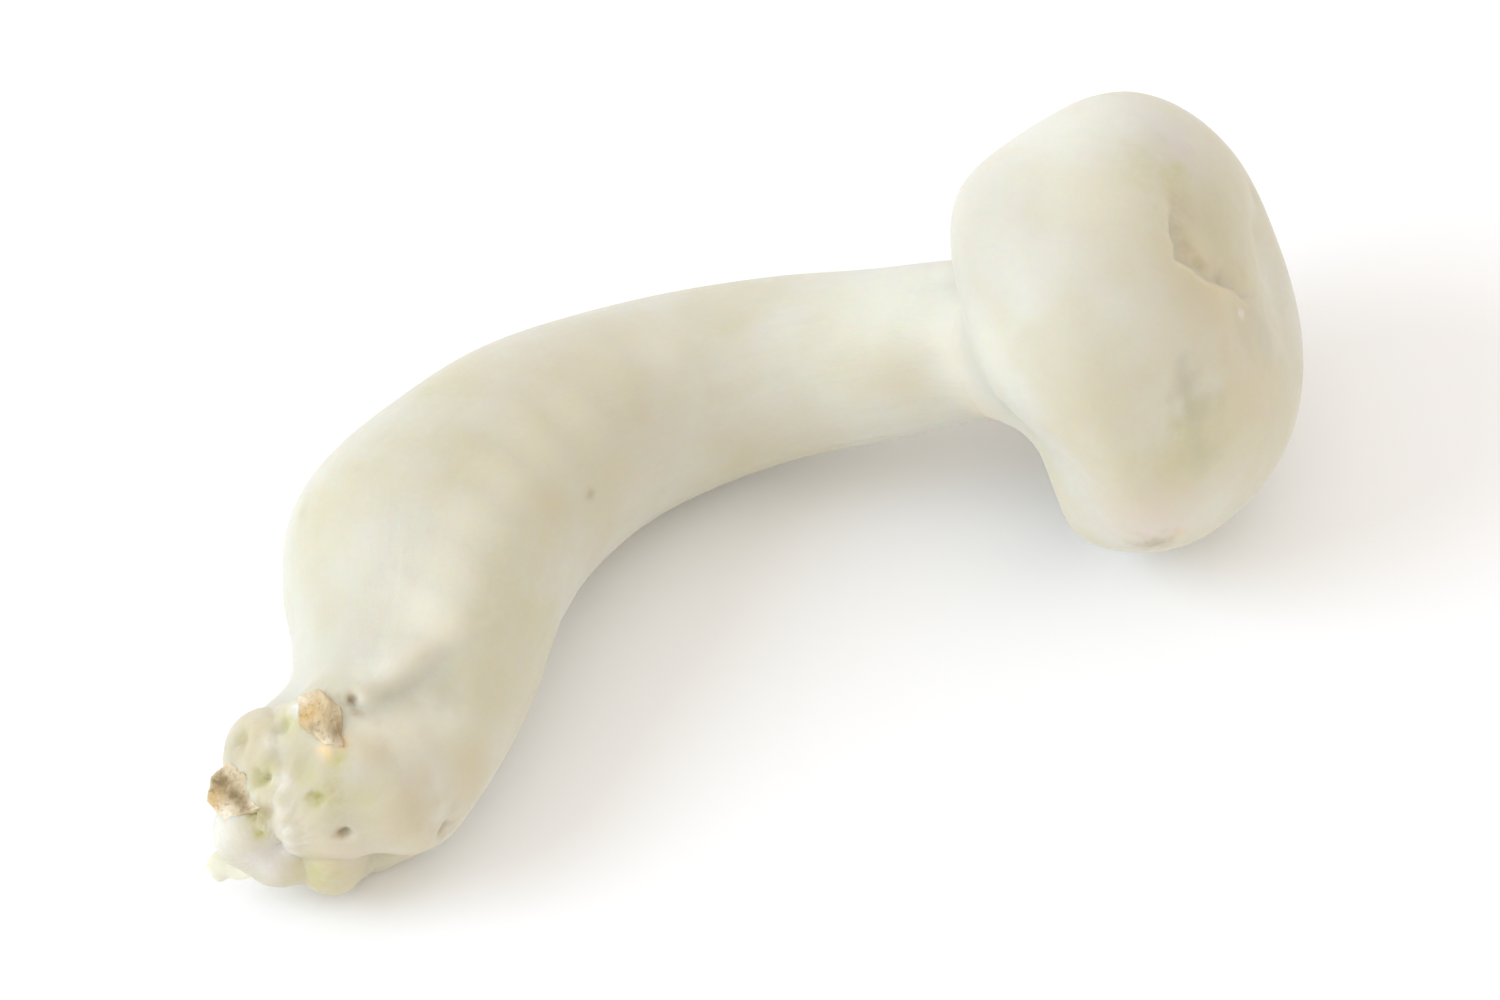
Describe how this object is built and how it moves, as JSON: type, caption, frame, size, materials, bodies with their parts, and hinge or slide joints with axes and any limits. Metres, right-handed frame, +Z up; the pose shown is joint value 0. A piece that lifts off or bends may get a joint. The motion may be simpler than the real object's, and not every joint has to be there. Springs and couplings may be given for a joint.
{
  "type": "white beech mushroom",
  "caption": "Fresh whole mushroom lying on its side: small domed cap with rolled-in margin and gills, curved swollen stem with a torn knobbly foot",
  "frame": {"origin": "middle of the bottom of the mushroom's box, on the surface it lies on", "axes": "+X from the torn foot towards the cap, +Y away from the picture's viewer, +Z up"},
  "size_m": [0.0556, 0.0418, 0.0224],
  "materials": {
    "cap_flesh": "smooth satin mushroom flesh, ivory, slightly translucent",
    "stem_flesh": "smooth satin mushroom flesh, ivory, rougher and browner at the torn foot",
    "growing_medium": "matte fibrous sawdust crumb, brown"
  },
  "bodies": {
    "root": {"cap": "cap_flesh", "stem": "stem_flesh", "crumb_upper": "growing_medium", "crumb_left": "growing_medium"}
  },
  "joints": []
}
